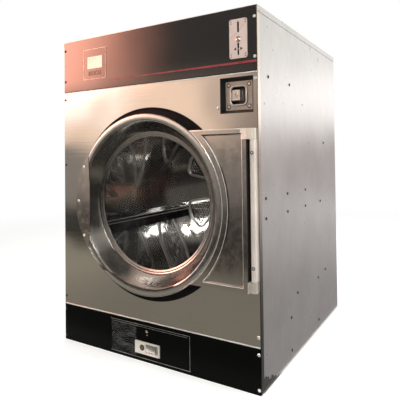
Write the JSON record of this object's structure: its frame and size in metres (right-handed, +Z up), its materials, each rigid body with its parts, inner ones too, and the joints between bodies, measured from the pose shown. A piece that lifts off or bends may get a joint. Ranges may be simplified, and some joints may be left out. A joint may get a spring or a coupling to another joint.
{
  "type": "coin-operated tumble dryer",
  "caption": "Free-standing coin-operated tumble dryer with a round glazed door on a side wing, a coin slot and vault, a lint drawer and a belt-driven drum.",
  "frame": {"origin": "middle of the base plate's underside, on the floor", "axes": "+X to the machine's right as seen from the front, +Y to the back, +Z up"},
  "size_m": [0.9834, 1.0952, 1.35],
  "materials": {
    "stainless": "brushed stainless sheet",
    "door_steel": "polished stainless pressing",
    "drum_steel": "polished stainless drum",
    "galvanised": "dull zinc-coated sheet with scratches",
    "black_gloss": "gloss black paint",
    "black_paint": "satin black paint",
    "coin_silver": "satin silver plate with fine scratches",
    "lock_metal": "plated lock metal",
    "hinge_alloy": "satin extrusion",
    "fastener": "plated screws and pins",
    "clear_glass": "clear tempered glass",
    "dark_window": "tinted display window",
    "key_plastic": "soft keys",
    "black_rubber": "black rubber",
    "grey_plastic": "moulded plastic",
    "shaft_steel": "ground steel",
    "alloy": "cast alloy",
    "lint_mesh": "fine mesh screen"
  },
  "bodies": {
    "cabinet": {"front_panel": "stainless", "front_left_post": "stainless", "front_right_post": "stainless", "left_side_panel": "galvanised", "right_side_panel": "galvanised", "back_panel": "galvanised", "top_cover": "galvanised", "base_plate": "galvanised", "bulkhead": "galvanised", "bearing_beam": "galvanised", "blower_housing": "galvanised", "exhaust_collar": "galvanised", "heater_box": "galvanised", "drawer_runners": "galvanised", "coin_chute": "galvanised", "control_fascia": "black_gloss", "kick_panel": "black_gloss", "display_bezel": "black_gloss", "vault_housing": "black_paint", "coin_faceplate": "coin_silver", "hinge_post": "hinge_alloy", "panel_screws": "fastener", "hinge_pins": "fastener", "display_window": "dark_window", "door_seal": "black_rubber", "drum_belt": "black_rubber", "coin_selector": "grey_plastic", "control_board": "grey_plastic", "cable_gland": "grey_plastic", "bearings": "shaft_steel", "heater_elements": "shaft_steel", "drive_motor": "alloy", "blower_motor": "alloy"},
    "key_1": {"key_1": "key_plastic"},
    "key_2": {"key_2": "key_plastic"},
    "key_3": {"key_3": "key_plastic"},
    "key_4": {"key_4": "key_plastic"},
    "reject_button": {"reject_button": "lock_metal"},
    "cash_drawer": {"vault_plate": "coin_silver", "cash_box": "galvanised"},
    "vault_lock": {"vault_lock": "lock_metal"},
    "drum": {"drum_shell": "drum_steel", "drum_back": "drum_steel", "drum_lifters": "drum_steel", "drum_shaft": "shaft_steel", "drum_pulley": "alloy"},
    "motor_pulley": {"motor_pulley": "alloy"},
    "fan": {"fan_wheel": "alloy"},
    "lint_drawer": {"drawer_front": "black_gloss", "lint_tray": "galvanised", "lint_screen": "lint_mesh", "latch_bezel": "coin_silver"},
    "latch_paddle": {"latch_paddle": "coin_silver"},
    "latch_lock": {"latch_lock": "lock_metal"},
    "door": {"door_shell": "door_steel", "door_glass": "clear_glass", "glass_gasket": "black_rubber", "glass_retainer": "door_steel", "handle_plate": "door_steel", "handle_screws": "fastener"}
  },
  "joints": [
    {"name": "door_hinge", "type": "hinge", "parent": "cabinet", "child": "door", "pos_m": [0.4735, -0.508, 0.635], "axis": [0, 0, 1], "range_deg": [0, 170]},
    {"name": "drum_spin", "type": "hinge", "parent": "cabinet", "child": "drum", "pos_m": [0.002, 0, 0.635], "axis": [0, 1, 0], "continuous": true},
    {"name": "motor_spin", "type": "hinge", "parent": "cabinet", "child": "motor_pulley", "pos_m": [0.33, 0.389, 0.12], "axis": [0, 1, 0], "continuous": true},
    {"name": "fan_spin", "type": "hinge", "parent": "cabinet", "child": "fan", "pos_m": [-0.11, 0.095, 0.088], "axis": [0, 1, 0], "continuous": true},
    {"name": "key_1_press", "type": "slide", "parent": "cabinet", "child": "key_1", "axis": [0, 1, 0], "range_m": [0, 0.0012], "stiffness_N_per_m": 400},
    {"name": "key_2_press", "type": "slide", "parent": "cabinet", "child": "key_2", "axis": [0, 1, 0], "range_m": [0, 0.0012], "stiffness_N_per_m": 400},
    {"name": "key_3_press", "type": "slide", "parent": "cabinet", "child": "key_3", "axis": [0, 1, 0], "range_m": [0, 0.0012], "stiffness_N_per_m": 400},
    {"name": "key_4_press", "type": "slide", "parent": "cabinet", "child": "key_4", "axis": [0, 1, 0], "range_m": [0, 0.0012], "stiffness_N_per_m": 400},
    {"name": "reject_press", "type": "slide", "parent": "cabinet", "child": "reject_button", "axis": [0, 1, 0], "range_m": [0, 0.004], "stiffness_N_per_m": 300},
    {"name": "cash_drawer_slide", "type": "slide", "parent": "cabinet", "child": "cash_drawer", "axis": [0, -1, 0], "range_m": [0, 0.19]},
    {"name": "vault_lock_turn", "type": "hinge", "parent": "cash_drawer", "child": "vault_lock", "pos_m": [0.3915, -0.46, 1.042], "axis": [0, 1, 0], "range_deg": [0, 90]},
    {"name": "lint_drawer_slide", "type": "slide", "parent": "cabinet", "child": "lint_drawer", "axis": [0, -1, 0], "range_m": [0, 0.4]},
    {"name": "latch_paddle_pull", "type": "hinge", "parent": "lint_drawer", "child": "latch_paddle", "pos_m": [-0.0147, -0.4971, 0.056], "axis": [0, 0, -1], "range_deg": [0, 35], "stiffness_Nm_per_rad": 0.1},
    {"name": "latch_lock_turn", "type": "hinge", "parent": "lint_drawer", "child": "latch_lock", "pos_m": [-0.035, -0.49, 0.056], "axis": [0, 1, 0], "range_deg": [0, 90]}
  ],
  "couplings": [
    {"joint": "motor_spin", "follows": "drum_spin", "ratio": 6.3158}
  ]
}
